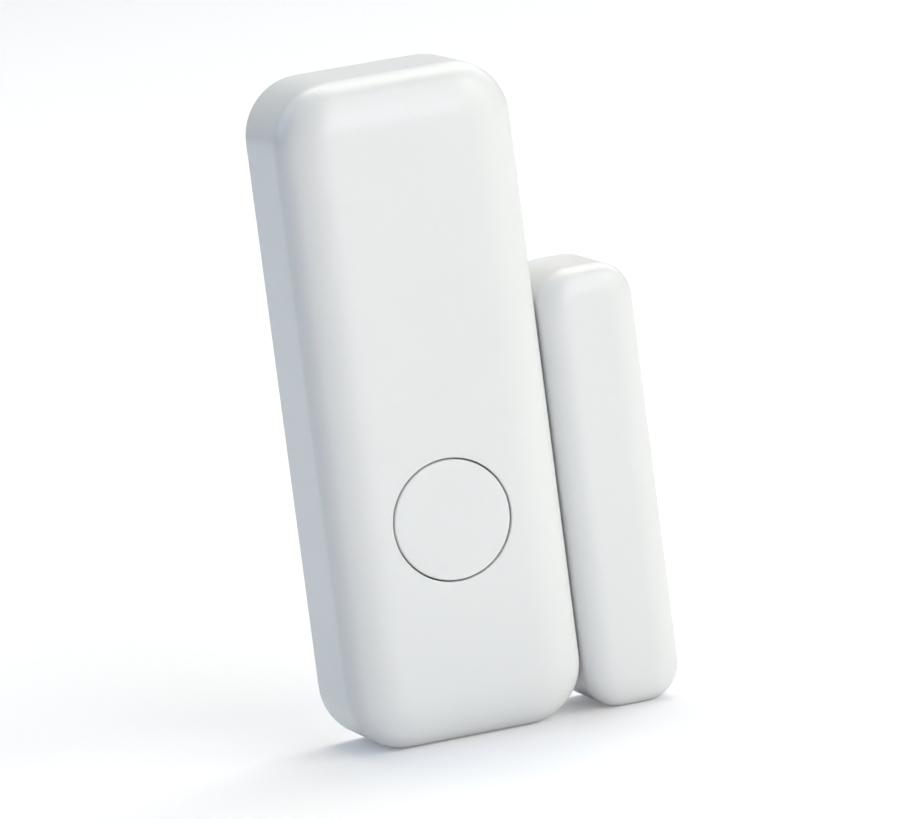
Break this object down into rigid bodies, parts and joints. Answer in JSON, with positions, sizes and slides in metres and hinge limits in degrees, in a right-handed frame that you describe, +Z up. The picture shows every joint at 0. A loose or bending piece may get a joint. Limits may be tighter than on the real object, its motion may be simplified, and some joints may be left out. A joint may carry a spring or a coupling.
{
  "type": "door contact sensor",
  "caption": "Wireless door contact sensor: a slim rounded sensor unit with a round push button, and a narrower magnet unit beside it, both clipped to back plates.",
  "frame": {"origin": "centre of the sensor's mounting tape, on the wall face", "axes": "+Z up along the door frame, +Y into the wall, +X from the sensor towards the magnet unit"},
  "size_m": [0.0375, 0.0141, 0.072],
  "materials": {
    "housing_white": "satin moulded",
    "button_white": "satin moulded",
    "plate_white": "fine spark texture",
    "tape_foam": "closed-cell foam tape",
    "board_green": "solder mask",
    "steel": "zinc plated",
    "cell_steel": "drawn steel can",
    "nickel": "nickel plated",
    "tinned": "tin plated",
    "black_plastic": "moulded",
    "plunger_white": "moulded",
    "reed_glass": "clear, faint green",
    "brass_wire": "drawn wire",
    "chip_black": "moulded epoxy",
    "chip_ceramic": "ceramic with tinned ends",
    "led_resin": "clear resin",
    "magnet_nickel": "nickel-plated magnet",
    "grey_foam": "open-cell foam"
  },
  "bodies": {
    "wall_plate": {"back_plate": "plate_white", "mounting_tape": "tape_foam"},
    "sensor_unit": {"front_shell": "housing_white", "circuit_board": "board_green", "board_screws": "steel", "battery_holder": "black_plastic", "coin_cell": "cell_steel", "battery_positive_contact": "nickel", "battery_negative_contact": "nickel", "tact_switch_base": "black_plastic", "tact_switch_frame": "steel", "tact_switch_terminals": "tinned", "tamper_switch_body": "black_plastic", "tamper_switch_terminals": "tinned", "reed_glass": "reed_glass", "reed_fixed_lead": "tinned", "reed_upper_lead": "tinned", "antenna_wire": "brass_wire", "radio_chip": "chip_black", "crystal": "nickel", "voltage_regulator": "chip_black", "chip_parts": "chip_ceramic", "status_led": "led_resin"},
    "button": {"button_cap": "button_white"},
    "switch_plunger": {"tact_switch_plunger": "black_plastic", "snap_dome": "steel"},
    "tamper_pin": {"tamper_plunger": "plunger_white"},
    "reed_arm": {"reed_blade": "nickel"},
    "magnet_plate": {"magnet_back_plate": "plate_white", "magnet_tape": "tape_foam", "bar_magnet": "magnet_nickel"},
    "magnet_housing": {"magnet_cover": "housing_white", "foam_spacer": "grey_foam"}
  },
  "joints": [
    {"name": "sensor_pull", "type": "slide", "parent": "wall_plate", "child": "sensor_unit", "axis": [0, -1, 0], "range_m": [0, 0.025]},
    {"name": "button_press", "type": "slide", "parent": "sensor_unit", "child": "button", "axis": [0, 1, 0], "range_m": [0, 0.0003], "stiffness_N_per_m": 3000, "springref_m": -0.0003},
    {"name": "switch_plunger_press", "type": "slide", "parent": "sensor_unit", "child": "switch_plunger", "axis": [0, 1, 0], "range_m": [0, 0.00031]},
    {"name": "tamper_pin_out", "type": "slide", "parent": "sensor_unit", "child": "tamper_pin", "axis": [0, 1, 0], "range_m": [0, 0.00081]},
    {"name": "reed_blade_swing", "type": "hinge", "parent": "sensor_unit", "child": "reed_arm", "pos_m": [0.0092, -0.00935, -0.00605], "axis": [-1, 0, 0], "range_deg": [0, 1.05]},
    {"name": "door_travel", "type": "slide", "parent": "wall_plate", "child": "magnet_plate", "axis": [1, 0, 0], "range_m": [0, 0.05]},
    {"name": "magnet_cover_pull", "type": "slide", "parent": "magnet_plate", "child": "magnet_housing", "axis": [0, -1, 0], "range_m": [0, 0.02]}
  ],
  "couplings": [
    {"joint": "switch_plunger_press", "follows": "button_press", "ratio": 1},
    {"joint": "tamper_pin_out", "follows": "sensor_pull", "ratio": 0.032},
    {"joint": "reed_blade_swing", "follows": "door_travel", "rad_per_m": 0.35}
  ]
}
